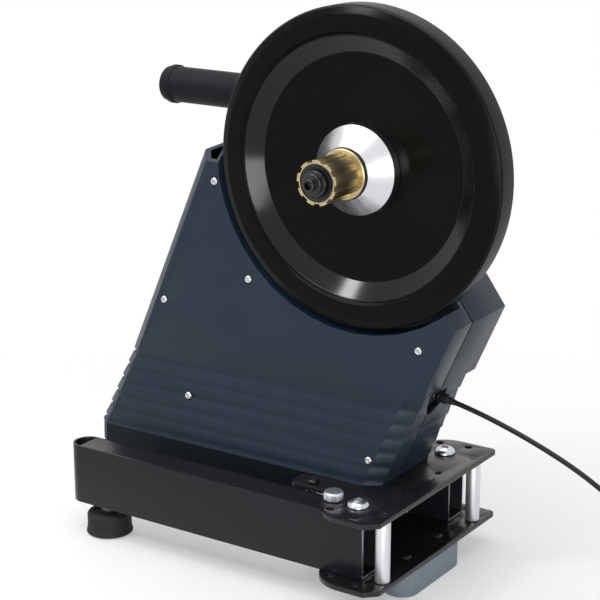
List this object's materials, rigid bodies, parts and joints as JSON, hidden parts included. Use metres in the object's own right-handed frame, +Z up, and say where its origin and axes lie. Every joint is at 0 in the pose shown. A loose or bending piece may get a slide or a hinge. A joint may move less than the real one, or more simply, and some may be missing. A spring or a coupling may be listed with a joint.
{
  "type": "direct drive bike trainer",
  "caption": "Direct drive bike trainer with a black flywheel, a gold freehub and a navy shell on a folding leg stand, parked with its legs back and its power lead plugged in.",
  "frame": {"origin": "middle of the footprint on the floor, with the trainer's parked legs and without its cord", "axes": "+X forward from the leg feet to the front foot, +Y across from the freehub side to the far side, +Z up"},
  "size_m": [0.6243, 0.1991, 0.458],
  "materials": {
    "base_enamel": "glossy black enamel on steel",
    "post_aluminium": "turned, fine lines",
    "zinc": "bright zinc plate",
    "shell_screws": "bright zinc plate",
    "rubber": "matte black",
    "grip": "satin black, with a raised ring near its end",
    "grey_foot": "grey blue, satin",
    "frame_steel": "dark grey enamel",
    "flywheel": "glossy black enamel",
    "hub": "turned",
    "freehub": "gold anodised",
    "ratchet_steel": "hardened steel",
    "magnet": "nickel plate",
    "brass": "rolled thread",
    "shell": "navy, fine grain",
    "board": "green solder mask",
    "black_plastic": "fine grain",
    "lead": "smooth satin black"
  },
  "bodies": {
    "stand": {"axle": "zinc", "brake_motor": "ratchet_steel", "connector_tray": "black_plastic", "control_board": "board", "far_end_cap": "base_enamel", "far_frame_bolt": "zinc", "far_frame_plate": "frame_steel", "far_front_post": "post_aluminium", "far_pivot_bolt": "zinc", "far_shell": "shell", "far_stem_post": "zinc", "front_foot": "grey_foot", "front_handle_bolt": "zinc", "handle_grip": "grip", "handle_tube": "base_enamel", "lead_coil": "lead", "lower_plate": "base_enamel", "near_end_cap": "base_enamel", "near_frame_bolt": "zinc", "near_frame_plate": "frame_steel", "near_front_post": "post_aluminium", "near_pivot_bolt": "zinc", "near_shell": "shell", "near_stem_post": "zinc", "power_adapter": "black_plastic", "power_jack": "black_plastic", "power_lead": "lead", "power_plug": "black_plastic", "rear_handle_bolt": "zinc", "shell_screw_1": "shell_screws", "shell_screw_2": "shell_screws", "shell_screw_3": "shell_screws", "shell_screw_4": "shell_screws", "shell_screw_5": "shell_screws", "shell_screw_6": "shell_screws", "upper_plate": "base_enamel"},
    "flywheel_set": {"flywheel": "flywheel", "flywheel_hub": "hub", "flywheel_bolt_1": "zinc", "flywheel_bolt_2": "zinc", "flywheel_bolt_3": "zinc", "near_hub_bearing": "zinc", "far_hub_bearing": "zinc"},
    "freehub_set": {"freehub_body": "freehub", "pawl_1": "ratchet_steel", "pawl_2": "ratchet_steel", "hub_seal": "rubber", "near_freehub_bearing": "zinc", "far_freehub_bearing": "zinc"},
    "near_leg": {"near_leg_tube": "base_enamel"},
    "far_leg": {"far_leg_tube": "base_enamel"},
    "near_foot": {"near_leg_foot": "rubber", "near_foot_stud": "zinc"},
    "far_foot": {"far_leg_foot": "rubber", "far_foot_stud": "zinc"},
    "near_lock": {"near_lock_pin": "post_aluminium"},
    "far_lock": {"far_lock_pin": "post_aluminium"},
    "brake": {"magnet_carrier": "frame_steel", "brake_magnet": "magnet"},
    "brake_screw": {"lead_screw": "brass"}
  },
  "joints": [
    {"name": "flywheel_spin", "type": "hinge", "parent": "stand", "child": "flywheel_set", "pos_m": [0.0703, -0.015, 0.333], "axis": [0, 1, 0], "continuous": true},
    {"name": "freehub_spin", "type": "hinge", "parent": "flywheel_set", "child": "freehub_set", "pos_m": [0.0703, -0.06, 0.333], "axis": [0, 1, 0], "continuous": true},
    {"name": "near_leg_swing", "type": "hinge", "parent": "stand", "child": "near_leg", "pos_m": [0.1023, -0.068, 0.051], "axis": [0, 0, 1], "range_deg": [0, 50]},
    {"name": "far_leg_swing", "type": "hinge", "parent": "stand", "child": "far_leg", "pos_m": [0.1023, 0.068, 0.051], "axis": [0, 0, -1], "range_deg": [0, 50]},
    {"name": "near_foot_turn", "type": "hinge", "parent": "near_leg", "child": "near_foot", "pos_m": [-0.1467, -0.068, 0.023], "axis": [0, 0, 1], "continuous": true},
    {"name": "far_foot_turn", "type": "hinge", "parent": "far_leg", "child": "far_foot", "pos_m": [-0.1467, 0.068, 0.023], "axis": [0, 0, 1], "continuous": true},
    {"name": "near_lock_pull", "type": "slide", "parent": "stand", "child": "near_lock", "axis": [0, 0, 1], "range_m": [0, 0.01], "stiffness_N_per_m": 150, "springref_m": -0.003},
    {"name": "far_lock_pull", "type": "slide", "parent": "stand", "child": "far_lock", "axis": [0, 0, 1], "range_m": [0, 0.01], "stiffness_N_per_m": 150, "springref_m": -0.003},
    {"name": "brake_slide", "type": "slide", "parent": "stand", "child": "brake", "axis": [0, -1, 0], "range_m": [0, 0.0042]},
    {"name": "lead_screw_turn", "type": "hinge", "parent": "stand", "child": "brake_screw", "pos_m": [0.0208, 0.005, 0.2835], "axis": [0, 1, 0], "range_deg": [0, 1080]}
  ],
  "couplings": [
    {"joint": "lead_screw_turn", "follows": "brake_slide", "rad_per_m": 4188.8}
  ]
}
